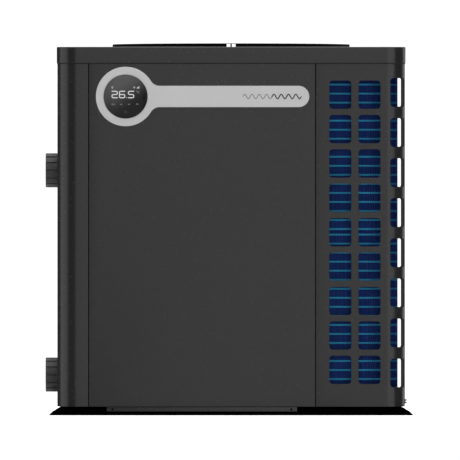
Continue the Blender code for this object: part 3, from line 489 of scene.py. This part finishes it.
def build_grilles():
    """The three perforated sheets, with a column of holes on the rounded corner of two of them."""
    corner = BODY - CORNER_R * (1 - math.sqrt(0.5))
    front_rows, side_rows, rear_rows = (row_heights(rows) for rows in (FRONT_ROWS, SIDE_ROWS, REAR_ROWS))

    low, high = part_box("front_corner_grille")
    path = [(low.x, -BODY + RETURN), (low.x, -BODY), (BODY, -BODY), (BODY, high.y)]
    path.append((BODY - SIDE_RETURN, high.y))
    front_columns = (FRONT_COLUMN_X, FRONT_COLUMN_X + COLUMN_PITCH)
    build_grille("front_grille_sheet", "front_corner_grille", path, (FOLD, CORNER_R, FOLD),
                 (FRONT_HOLE, [(x, -BODY, z) for x in front_columns for z in front_rows], (0, -1, 0)),
                 (CORNER_HOLE, [(corner, -corner, z) for z in side_rows], (1, -1, 0)))

    low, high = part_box("side_grille")
    path = [(BODY - SIDE_RETURN, low.y), (BODY, low.y), (BODY, high.y), (BODY - REAR_RETURN, high.y)]
    build_grille("side_grille_sheet", "side_grille", path, (FOLD, TIGHT_FOLD),
                 (SIDE_HOLE, [(BODY, y, z) for y in columns(10) for z in side_rows], (1, 0, 0)))

    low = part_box("rear_corner_grille")[0]
    path = [(BODY - REAR_RETURN, low.y), (BODY, low.y), (BODY, BODY), (low.x, BODY), (low.x, BODY - RETURN)]
    rear_columns = columns(7, (low.x + BODY - CORNER_R) / 2)
    build_grille("rear_grille_sheet", "rear_corner_grille", path, (TIGHT_FOLD, CORNER_R, FOLD),
                 (CORNER_HOLE, [(corner, corner, z) for z in rear_rows], (1, 1, 0)),
                 (SIDE_HOLE, [(x, BODY, z) for x in rear_columns for z in rear_rows], (0, 1, 0)))


def build_lid():
    """The pressed lid with its rounded edge, and a black strip under the foot of its skirt that paints the
    shadow line there.
    """
    low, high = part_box("top_lid")
    half = high.x
    bend, burr_in, burr_up = 0.0022, 0.0002, 0.0003  # the top edge's radius, and the foot's small chamfer
    radius = CORNER_R + half - BODY
    foot = low.z + LID_GAP

    def ring(inset, z):
        return flat_loop(rounded_rect(half - inset, half - inset, radius - inset, 20), z)

    loops = [ring(SHEET, high.z - SHEET), ring(SHEET, foot), ring(burr_in, foot), ring(0, foot + burr_up)]
    for degrees in range(0, 91, 15):
        turn = math.radians(degrees)
        loops.append(ring(bend * (1 - math.cos(turn)), high.z - bend * (1 - math.sin(turn))))
    lid = bored(solid(loops), FAN_OPENING_R, high.z - 0.02, high.z + 0.02, 128)
    piece("lid_sheet", lid, CHARCOAL, ["top_lid"])

    outer, inner = half - BODY - 0.0008, half - BODY + 0.0005
    top = foot + 0.0002
    loops = [ring(outer, top), ring(outer, low.z), ring(inner, low.z), ring(inner, top)]
    # painted shadow: the dark line is the gap's real shade, deepened by this black rubber strip
    piece("lid_shadow_strip", solid(loops, ring=True), RUBBER)


def build_guard():
    """The rim with its drain notches, and the sunk wire rings, ribs and cap of the fan guard."""
    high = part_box("fan_guard")[1]
    lid_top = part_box("top_lid")[1].z
    outer, top, foot = high.x, high.z, lid_top + 0.0003
    inner, bend = outer - 0.0130, 0.0010
    profile = [(inner, foot), (outer, foot), (outer, top - bend)]
    profile += arc((outer - bend, top - bend), bend, 30, 90, 2) + [(inner, top)]
    middle_r, reach = 0.269, 0.012  # where the front's two notches and the rear's gap cross the rim
    notch_x, notch_half, notch_top = 0.0060, 0.0043, top - 0.0012
    gap_half, gap_top = 0.0103, top + 0.0010
    cuts = bmesh.new()
    for x, y, half, height in ((-notch_x, -middle_r, notch_half, notch_top),
                               (notch_x, -middle_r, notch_half, notch_top),
                               (0.0, middle_r, gap_half, gap_top)):
        outline = rectangle(half, reach, (x, y))
        skin(cuts, [flat_loop(outline, foot - 0.0003), flat_loop(outline, height)])
    bmesh.ops.recalc_face_normals(cuts, faces=cuts.faces)
    rim = cut(turned(profile, 144, ring=True), cuts)
    piece("fan_guard_rim", rim, BLACK, ["fan_guard"])

    level, wire_r = lid_top + 0.0001, 0.0013
    first_r, pitch, count = 0.056, 0.0140, 15
    wires = bmesh.new()
    for i in range(count):
        section = ring_points((first_r + i * pitch, level), wire_r, steps=8)
        skin(wires, [circle(r, z, 96) for r, z in section], ring=True)
    piece("fan_guard_rings", wires, BLACK)

    base = level - 0.0050  # of the ribs and the cap
    start, end, half, count = 0.0420, 0.2668, 0.0016, 12
    ribs = bmesh.new()
    for i in range(count):
        way = Matrix.Rotation(2 * math.pi * (i + 0.5) / count, 3, "Z")
        outline = rectangle((end - start) / 2, half, ((start + end) / 2, 0))
        skin(ribs, [[way @ p for p in flat_loop(outline, z)] for z in (base, level + 0.0010)])
    piece("fan_guard_ribs", ribs, BLACK, bevel=0.0004)

    crown, ring_r, hole_r, cap_r = level + 0.0013, 0.0480, 0.0300, 0.0296
    profile = [(hole_r, base), (ring_r, base), (ring_r, crown - 0.0012), (ring_r - 0.0014, crown)]
    profile.append((hole_r, crown))
    piece("fan_guard_cap_ring", turned(profile, 96, ring=True), BLACK)
    profile = [(cap_r, base + 0.001), (cap_r, crown - 0.0014), (cap_r - 0.0012, crown - 0.0006)]
    profile.append((0.0100, crown - 0.0003))
    piece("fan_guard_cap", turned(profile, 72), BLACK)


def build_lock_strip():
    """The angle at the front panel's foot, with a cross-headed screw near each end."""
    strip = bmesh.new()
    strip.from_mesh(frame["nodes"]["panel_lock_strip"].data)
    bmesh.ops.remove_doubles(strip, verts=strip.verts, dist=0.00001)
    bmesh.ops.dissolve_limit(strip, angle_limit=0.01, verts=strip.verts, edges=strip.edges)
    piece("lock_strip", strip, CHARCOAL, ["panel_lock_strip"], bevel=0.0003)
    for name in ("lock_screw_left", "lock_screw_right"):
        low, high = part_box(name)
        radius, rise = (high.z - low.z) / 2, high.y - low.y
        profile = [(radius, 0.0), (radius, rise * 0.4), (radius * 0.9, rise * 0.75), (radius * 0.6, rise)]
        head = cross_slotted(turned(profile, 32), 0.0016, 0.0004, rise * 0.3, rise * 2)
        place = ((low.x + high.x) / 2, high.y, (low.z + high.z) / 2)
        piece(name + "_head", moved(head, place, "-Y"), BLACK, [name])


# ---------------------------------------------------------------- badge and controller
def badge_outline(ring_r, bar_half, fillet, end):
    """A ring's outer circle that runs by two fillets into a bar with a round end."""
    lift = bar_half + fillet
    reach = math.sqrt((ring_r + fillet) ** 2 - lift**2)
    angle = math.degrees(math.atan2(lift, reach))
    points = arc((0, 0), ring_r, angle, 360 - angle, 72)
    points += arc((reach, -lift), fillet, 180 - angle, 90, 10)[1:]
    points += arc((end, 0), bar_half, -90, 90, 32)
    points += arc((reach, lift), fillet, 270, 180 + angle, 10)[:-1]
    return points


def stroke(bm, points, half_width, closed=False):
    """A flat rounded line in local X and Y, with round ends. It is as wide as given."""
    points = [Vector(p) for p in points]
    loops = []
    count, sides = len(points), 8
    for i, point in enumerate(points):
        before = points[i - 1] if i or closed else point
        after = points[(i + 1) % count] if i + 1 < count or closed else point
        ahead = (after - before).normalized()
        across = Vector((-ahead.y, ahead.x))
        widths = [(0.0, 1.0)]
        if not closed and i in (0, count - 1):
            sign = -1 if i == 0 else 1
            widths = [(sign * math.sin(a), math.cos(a)) for a in (math.radians(d) for d in (80, 55, 30, 0))]
            if i:
                widths.reverse()
        for forward, width in widths:
            middle = point + ahead * forward * half_width
            loop = []
            for k in range(sides):
                turn = 2 * math.pi * k / sides
                flat = middle + across * half_width * width * math.cos(turn)
                loop.append(Vector((flat.x, flat.y, PRINT_DEPTH * width * math.sin(turn))))
            loops.append(loop)
    skin(bm, loops, ring=closed)


def digit_paths(width, height):
    """Rounded strokes for the digits that the display shows, each from its lower left corner."""
    r = height * 0.2
    w, h, m = width, height, height / 2

    def bend(points):
        return filleted(points, [r] * (len(points) - 2), 4)

    return {
        "2": bend([(0, h), (w, h), (w, m), (0, m), (0, 0), (w, 0)]),
        "5": bend([(w, h), (0, h), (0, m), (w, m), (w, 0), (0, 0)]),
        "6": bend([(w, h), (0, h), (0, 0), (w, 0), (w, m), (0.05 * w, m)]),
    }


def printed(name, bm, place, paint):
    """Lines drawn in X and Y about a place on the front, as a piece."""
    piece(name, moved(bm, place, "-Y"), paint, sharp=80)


def build_badge():
    """The silver plate behind the controller, and the controller's glass with its soft edge."""
    low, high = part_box("badge_plate")
    glass_low, glass_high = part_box("controller_glass")
    centre = centre_of("controller_glass")
    place = (centre.x, 0, centre.z)
    ring_r = (high.z - low.z) / 2 - 0.0001
    glass_r = (glass_high.z - glass_low.z) / 2
    bar_half, fillet = 0.0245, 0.023
    outline = badge_outline(ring_r, bar_half, fillet, high.x - centre.x - bar_half)
    plate = bored(prism(outline, -high.y, -low.y), glass_r + 0.0003, -high.y - 0.01, -low.y + 0.01, 128)
    piece("badge_plate_face", moved(plate, place, "-Y"), SILVER, ["badge_plate"],
          bevel=0.0006)

    back, face, bend = -glass_high.y, -glass_low.y, 0.0012
    lens = turned([(glass_r, back)] + arc((glass_r - bend, face - bend), bend, 0, 90, 3), 128)
    piece("controller_lens", moved(lens, place, "-Y"), GLASS, ["controller_glass"])


def build_display():
    """Digits and icons, drawn about the glass's centre, in four levels of brightness."""
    centre = centre_of("controller_glass")
    place = (centre.x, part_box("controller_glass")[0].y - ON_SURFACE, centre.z)
    bold, thin = 0.0006, 0.0005

    digits = bmesh.new()
    paths, base, half_width = digit_paths(0.0122, 0.0150), -0.0029, 0.00105
    for name, x in (("2", -0.0311), ("6", -0.0140), ("5", 0.0066)):
        stroke(digits, [Vector(p) + Vector((x, base)) for p in paths[name]], half_width)
    stroke(digits, ring_points((0.0024, base + 0.0003), thin, steps=8), thin, closed=True)  # the point
    printed("display_digits", digits, place, DIGIT)

    status = bmesh.new()
    stroke(status, ring_points((-0.0305, 0.0213), 0.0015), bold, closed=True)
    stroke(status, [(-0.0305, 0.0195), (-0.0305, 0.0180)], thin)
    stroke(status, ring_points((0.0200, 0.0208), 0.0016), bold, closed=True)
    for i in range(4):  # a row of bars, each higher than the last
        x = 0.0266 + i * 0.0015
        stroke(status, [(x, 0.0190), (x, 0.0202 + i * 0.0010)], 0.0008)
    printed("display_status_icons", status, place, ICON_BRIGHT)

    icons = bmesh.new()
    stroke(icons, ring_points((0.0255, 0.0120), 0.0007, steps=10), 0.00035, closed=True)  # the degree sign
    stroke(icons, ring_points((0.0300, 0.0102), 0.0022, 50, 310), 0.00045)
    for x in (-0.0305, -0.0265):
        stroke(icons, rectangle(0.0012, 0.0012, (x, -0.0180)), 0.0004, closed=True)
    for x, up in ((-0.0100, 1), (0.0080, -1)):  # an arrow that points up, and one that points down
        foot, tip = -0.0179 - up * 0.0011, -0.0179 + up * 0.0011
        stroke(icons, [(x - 0.0022, foot), (x, tip), (x + 0.0022, foot)], thin)
    stroke(icons, ring_points((0.0270, -0.0192), 0.0024, 20, 160), thin)
    printed("display_icons", icons, place, ICON)

    power = bmesh.new()
    stroke(power, ring_points((0.0, -0.0355), 0.0030, -235, 55), thin)
    stroke(power, [(0.0, -0.0318), (0.0, -0.0350)], thin)
    printed("display_power_mark", power, place, ICON_FAINT)


def build_wave_print():
    """A plain wave along the badge's bar, thin in its first half and bold in its second."""
    centre = centre_of("controller_glass")
    start, end = 0.027 - centre.x, 0.161 - centre.x
    height, length, steps = 0.0052, 0.0168, 128
    line = []
    for i in range(steps + 1):
        x = start + (end - start) * i / steps
        line.append((x, height * math.sin(2 * math.pi * (x - start) / length)))
    half = steps // 2
    waves = bmesh.new()
    stroke(waves, line[: half + 1], 0.0007)
    stroke(waves, line[half:], 0.0014)
    printed("badge_wave_print", waves, (centre.x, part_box("badge_plate")[0].y - ON_SURFACE, centre.z), MOTIF)


# ---------------------------------------------------------------- coil
def walked(path, step):
    """Points and left-hand normals at equal steps along a path in plan."""
    found = []
    ahead, travelled = 0.0, 0.0
    for a, b in zip(path, path[1:]):
        span = (b - a).length
        way = (b - a) / span
        while ahead <= travelled + span:
            found.append((a + way * (ahead - travelled), Vector((-way.y, way.x))))
            ahead += step
        travelled += span
    return found


def build_coil():
    """Two slabs of real ridges for the fins' edges, with thin matte cyan strips at the tube rows between
    them, a painted highlight of the tube collars.
    """
    low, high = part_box("evaporator_lower")
    face = high.x + 0.0012
    start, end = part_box("coil_end_plate_front")[1].x + 0.0004, low.x
    thick = 0.030

    def layer(deep, steps=24):
        """The coil's line in plan, at a depth behind its face."""
        bend, radius = face - COIL_BEND_R, COIL_BEND_R - deep
        path = [(start, deep - face)] + arc((bend, -bend), radius, 270, 360, steps)
        path += arc((bend, bend), radius, 0, 90, steps) + [(end, face - deep)]
        return [Vector(p) for p in path]

    pitch, pair = 0.0023, 40  # of the fins, and the steps along the face over two of them
    gap, second = 0.0040, 0.0026  # how deep the gaps and every second fin's edge lie
    profile = ((0, 0.0), (9, 0.0), (9, gap), (20, gap), (20, second), (29, second), (29, gap), (39, gap))
    spots = walked(layer(0), 2 * pitch / pair)
    outline = []
    for i in range(len(spots) // pair):
        for step, deep in profile:
            point, inward = spots[i * pair + step]
            outline.append(tuple(point + inward * deep))
    outline += [tuple(p) for p in reversed(layer(thick))]
    for level in ("lower", "upper"):
        node = f"evaporator_{level}"
        low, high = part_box(node)
        piece(f"coil_fins_{level}", prism(outline, low.z, high.z), FINS, [node], sharp=30)

    # thin strips at each tube row, in the painted highlight's colour
    row_pitch, half = 0.02077, Vector((0, 0, 0.0021))
    heights = [0.4285 + row_pitch * k for k in range(18)] + [0.4156 - row_pitch * k for k in range(19)]
    front, behind = ([p.to_3d() for p in layer(deep, 16)] for deep in (0.0001, 0.0022))
    lines = bmesh.new()
    for z in heights:
        middle = Vector((0, 0, z))
        loops = [[a + middle - half, a + middle + half, b + middle + half, b + middle - half]
                 for a, b in zip(front, behind)]
        skin(lines, loops)
    piece("coil_tube_row_highlights", lines, TUBE_ROW_HIGHLIGHT)


# ---------------------------------------------------------------- fan
def blade(bm, start):
    """One swept blade, thin and twisted, thickest near its middle."""
    stations, chords = 14, 10
    root, reach, foot = 0.050, 0.1995, 0.7505
    sides = []
    for surface_side in (1, -1):
        grid = []
        for i in range(stations + 1):
            share = i / stations
            radius = root + share * reach
            spread = math.radians(30 + 16 * share)
            lead = start + math.radians(26) * share**1.5
            lift = 0.050 - 0.010 * share
            row = []
            for j in range(chords + 1):
                along = j / chords
                angle = lead + spread * along
                middle = foot + lift * (along - 0.12 * math.sin(math.pi * along))
                thick = 0.0005 + 0.0011 * math.sin(math.pi * along)
                point = (radius * math.cos(angle), radius * math.sin(angle), middle + surface_side * thick)
                row.append(bm.verts.new(point))
            grid.append(row)
        sides.append(grid)
    upper, lower = sides
    for i in range(stations):
        for j in range(chords):
            bm.faces.new((upper[i][j], upper[i][j + 1], upper[i + 1][j + 1], upper[i + 1][j]))
            bm.faces.new((lower[i][j], lower[i + 1][j], lower[i + 1][j + 1], lower[i][j + 1]))
    edge = [(0, j) for j in range(chords + 1)] + [(i, chords) for i in range(1, stations + 1)]
    edge += [(stations, j) for j in range(chords - 1, -1, -1)] + [(i, 0) for i in range(stations - 1, 0, -1)]
    for a, b in zip(edge, edge[1:] + edge[:1]):
        bm.faces.new((lower[a[0]][a[1]], lower[b[0]][b[1]], upper[b[0]][b[1]], upper[a[0]][a[1]]))


def build_fan():
    """The impeller's hub and its blades, which turn, and the flared shroud round them."""
    low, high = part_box("fan_impeller")
    bore, recess_r, hub_r = 0.0064, 0.030, 0.055
    step, bend = 0.002, 0.006
    profile = [(bore, low.z), (hub_r - 0.003, low.z), (hub_r, low.z + 0.003)]
    profile += arc((hub_r - bend, high.z - bend), bend, 0, 90, 3)
    profile += [(recess_r, high.z), (recess_r, high.z - step), (bore, high.z - step)]
    piece("impeller_hub", turned(profile, 72, ring=True), BLACK, ["fan_impeller"], "fan")
    count = 5
    blades = bmesh.new()
    for i in range(count):
        blade(blades, 2 * math.pi * i / count)
    bmesh.ops.recalc_face_normals(blades, faces=blades.faces)
    piece("impeller_blades", blades, BLACK, body="fan", sharp=50)

    low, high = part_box("fan_shroud")
    throat, flange, flare, wall = 0.2620, 0.2850, 0.025, 0.002
    middle = (throat + flare, low.z + flare)
    profile = [(throat, high.z)] + arc(middle, flare, 180, 270, 6) + arc(middle, flare - wall, 270, 180, 6)
    profile += [(throat + wall, high.z - wall), (flange, high.z - wall), (flange, high.z)]
    piece("shroud_ring", turned(profile, 128, ring=True), BLACK, ["fan_shroud"])


# ---------------------------------------------------------------- unions and other fittings
def nut_outline(root, tip, lugs, share):
    """A round outline with raised lugs that have small soft shoulders. They take up that share of it."""
    points = []
    pitch = 2 * math.pi / lugs
    rise, soft = pitch * share, 0.05
    for i in range(lugs):
        start = i * pitch
        points += [(root + (tip - root) * (1 - math.cos(math.pi * t)) / 2, start + soft * rise * t)
                   for t in (0.0, 0.5, 1.0)]
        points += [(tip, start + rise * t) for t in (0.3, 0.5, 0.7)]
        end = start + rise
        points += [(root + (tip - root) * (1 + math.cos(math.pi * t)) / 2, end - soft * rise * (1 - t))
                   for t in (0.0, 0.5, 1.0)]
        points += [(root, end + (pitch - rise) * t) for t in (0.2, 0.4, 0.6, 0.8)]
    return [(r * math.cos(a), r * math.sin(a)) for r, a in points]


def build_union(side):
    """One union: the ribbed nut that turns, and the pipe tail in it."""
    low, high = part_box(f"{side}_union_nut")
    place = (0, *centre_of(f"{side}_union_nut").yz)
    near, far = -high.x, -low.x
    outline = nut_outline(0.0374, 0.0397, 14, 0.80)

    def ring(share, x):
        return flat_loop([(a * share, b * share) for a, b in outline], x)

    edge = ((0.965, 0.0), (0.99, 0.0008), (1.0, 0.0020))  # the outline's share, and how far from the end
    nut = solid([ring(share, near + deep) for share, deep in edge]
                + [ring(share, far - deep) for share, deep in reversed(edge)])
    thread_r, neck_r, lip = 0.0318, 0.0289, 0.0030
    nut = bored(nut, thread_r, near - 0.01, far - lip)
    nut = bored(nut, neck_r, near - 0.01, far + 0.01)
    piece(f"{side}_nut_ribbed", moved(nut, place, "-X", math.radians(NUT_TURN)), UNION,
          [f"{side}_union_nut"], f"{side}_nut")

    low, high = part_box(f"{side}_tail")
    near, far = -high.x, -low.x
    collar_r, collar = 0.0313, 0.0045
    outer, inner, bevel = 0.0285, 0.0252, 0.0006
    profile = [(collar_r, near), (collar_r, near + collar), (outer, near + collar), (outer, far - bevel),
               (outer - bevel, far), (inner + bevel, far), (inner, far - bevel), (inner, near)]
    piece(f"{side}_tail_smooth", moved(turned(profile, 96, ring=True), place, "-X"), UNION,
          [f"{side}_tail"])


def build_gland():
    """The cable gland on the rear panel: a hexagon, its thread in the wall, and a ribbed cap."""
    wall = BODY + 0.0003
    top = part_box("power_cable_gland")[1].y - wall
    centre = centre_of("power_cable_gland")
    place = (centre.x, wall, centre.z)
    cable = (0.0056, -0.01, 0.03, 48)  # the bore for the cable
    hexagon_r, thick = 0.0140, 0.0066
    nut = bored(prism(ring_points((0, 0), hexagon_r, steps=6), 0.0, thick), *cable)
    piece("gland_nut", moved(nut, place, "Y"), BLACK, ["power_cable_gland"], bevel=0.0005)
    outer, inner, deep = 0.0100, 0.0055, -0.015
    thread = turned([(outer, deep), (outer, 0.0), (inner, 0.0), (inner, deep)], 48, ring=True)
    piece("gland_thread", moved(thread, place, "Y"), BLACK)
    outline, foot, shoulder, narrow = nut_outline(0.0116, 0.0125, 14, 0.5), 0.0068, 0.0150, 0.74
    cap = solid([flat_loop(outline, foot), flat_loop(outline, shoulder),
                 flat_loop([(x * narrow, y * narrow) for x, y in outline], top)])
    piece("gland_cap", moved(bored(cap, *cable), place, "Y"), BLACK)


def screw_head():
    profile = [(0.0044, 0.0), (0.0045, 0.0006), (0.0040, 0.0017), (0.0026, 0.0024), (0.0006, 0.0026)]
    return cross_slotted(turned(profile, 32), 0.0024, 0.0005, 0.0013, 0.004)


def build_panel_screws():
    """Cross-headed screws that hold the sheets, on the sides that the unit's front doesn't show."""
    wall, bottom, top, inset = BODY + SCREW_GAP, 0.036, 0.795, 0.008
    low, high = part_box("rear_service_panel")
    places = [("Y", (x, wall, z)) for x in (low.x + 0.014, high.x - 0.014) for z in (bottom, 0.420, top)]
    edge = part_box("side_grille")[1].y
    places += [("X", (wall, edge - inset, z)) for z in (bottom, 0.400, top)]
    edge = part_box("rear_corner_grille")[0].x
    places += [("Y", (edge + inset, wall, z)) for z in (bottom, top)]
    places += [("-X", (-wall, y, bottom)) for y in (0.0, 0.330)]
    for number, (along, place) in enumerate(places, 1):
        piece(f"panel_screw_{number}", moved(screw_head(), place, along), BLACK_STEEL)


# ---------------------------------------------------------------- studio
LIGHT_DISTANCE = 12.0
AMBIENT = 0.04  # light from all round, which every surface gets
SKY_GLOW = 0.55  # what the tops reflect
PAPER_GLOW = 0.90  # what the front's lower part reflects
BACKDROP = 1.05  # what the camera sees beside the unit, a little past white
LIGHT_FOOT = -2.5  # height of the soft boxes' lower edge


def soft_box(name, origin, azimuths, top, radiance):
    """An upright light that spans two azimuths, as seen from origin, counted from the front towards +X."""
    start, end = (math.radians(a) for a in azimuths)
    turn, half = (start + end) / 2, (end - start) / 2
    data = bpy.data.lights.new(name, "AREA")
    data.shape = "RECTANGLE"
    data.size, data.size_y = 2 * LIGHT_DISTANCE * math.tan(half), top - LIGHT_FOOT
    data.energy = radiance * math.pi * data.size * data.size_y
    item = bpy.data.objects.new(name, data)
    away = Vector((math.sin(turn), -math.cos(turn))) * LIGHT_DISTANCE
    item.location = (origin[0] + away.x, origin[1] + away.y, (top + LIGHT_FOOT) / 2)
    item.rotation_euler = (math.pi / 2, 0, turn)
    item.visible_camera = False
    bpy.context.scene.collection.objects.link(item)


def overhead_light(size, height, radiance):
    data = bpy.data.lights.new("overhead", "AREA")
    data.shape = "SQUARE"
    data.size = size
    data.energy = radiance * math.pi * size**2
    item = bpy.data.objects.new("overhead", data)
    item.location = (0, 0, height)
    item.visible_camera = False
    bpy.context.scene.collection.objects.link(item)


def floor_paint():
    """Pale studio paper, which glows a little so that it stays white under the long shadows."""
    made = surface("pale_paper", (0.85, 0.85, 0.85), 0.9, specular=0.0, spread=0.01)
    tree = made.node_tree
    shader = tree.nodes["Principled BSDF"]
    shader.inputs["Emission Color"].default_value = (1, 1, 1, 1)
    kind = tree.nodes.new("ShaderNodeLightPath")
    glow = ranged(tree, kind.outputs["Is Camera Ray"], 0.0, 0.75, 0, 1)
    tree.links.new(glow, shader.inputs["Emission Strength"])
    return made


def build_world():
    """White where the camera sees it. In reflections: dark at eye level, soft above, and paper below."""
    world = bpy.data.worlds.new("studio")
    bpy.context.scene.world = world
    world.use_nodes = True
    world.cycles.sampling_method = "NONE"
    tree = world.node_tree
    tree.nodes.clear()
    where = tree.nodes.new("ShaderNodeTexCoord")
    split = tree.nodes.new("ShaderNodeSeparateXYZ")
    tree.links.new(where.outputs["Generated"], split.inputs["Vector"])

    def maths(operation, first, second):
        node = tree.nodes.new("ShaderNodeMath")
        node.operation = operation
        for socket, value in zip(node.inputs, (first, second)):
            if isinstance(value, (int, float)):
                socket.default_value = value
            else:
                tree.links.new(value, socket)
        return node.outputs["Value"]

    above = ranged(tree, split.outputs["Z"], 0.0, SKY_GLOW, 0.16, 0.50)
    below = ranged(tree, split.outputs["Z"], PAPER_GLOW, 0.0, -0.40, -0.17)
    frontal = ranged(tree, split.outputs["Y"], 0.40, 1.0, -0.85, -0.55)
    glow = maths("ADD", above, maths("MULTIPLY", below, frontal))
    kind = tree.nodes.new("ShaderNodeLightPath")
    unseen = maths("ADD", maths("MULTIPLY", glow, kind.outputs["Is Glossy Ray"]), AMBIENT)
    strength = maths("ADD", maths("MULTIPLY", kind.outputs["Is Camera Ray"], BACKDROP), unseen)
    background = tree.nodes.new("ShaderNodeBackground")
    tree.links.new(strength, background.inputs["Strength"])
    background.inputs["Color"].default_value = (1, 1, 1, 1)
    output = tree.nodes.new("ShaderNodeOutputWorld")
    tree.links.new(background.outputs["Background"], output.inputs["Surface"])


def build_studio():
    bpy.context.scene.view_settings.view_transform = "Standard"
    build_world()
    overhead_light(size=4.0, height=3.4, radiance=2.7)
    right, left = (0.36, -0.36), (-0.36, -0.36)
    soft_box("front_key", (0, -0.4), (-12.1, 11.5), 9.0, 0.79)
    soft_box("front_right", right, (12.0, 56.0), 9.0, 1.15)
    soft_box("left_side", left, (-113.0, -58.0), 7.0, 1.00)
    soft_box("right_rear", right, (123.0, 152.0), 7.0, 0.80)

    half, corner_r, top = 2.6, 1.2, -0.0002
    floor = mesh_object("floor", prism(rounded_rect(half, half, corner_r, 16), 2 * top, top))
    floor.data.materials.append(floor_paint())
    floor.visible_glossy = False
    floor.visible_shadow = False


def build_camera():
    """A long lens, level with the middle of the unit, so that its front looks nearly flat."""
    data = bpy.data.cameras.new("camera")
    data.lens = 1500
    data.sensor_width = 36
    width = 1.058  # of what the lens takes in at the unit's front face, in metres
    distance = width * data.lens / data.sensor_width
    item = bpy.data.objects.new("camera", data)
    item.location = (-0.0026, -BODY - distance, 0.4262)
    item.rotation_euler = (math.pi / 2, 0, 0)
    data.clip_start, data.clip_end = 0.1, 200
    bpy.context.scene.collection.objects.link(item)
    bpy.context.scene.camera = item


paint_frame()
build_plain_panels()
build_grilles()
build_lid()
build_guard()
build_lock_strip()
build_badge()
build_display()
build_wave_print()
build_coil()
build_fan()
build_union("inlet")
build_union("outlet")
build_gland()
build_panel_screws()
build_studio()
build_camera()
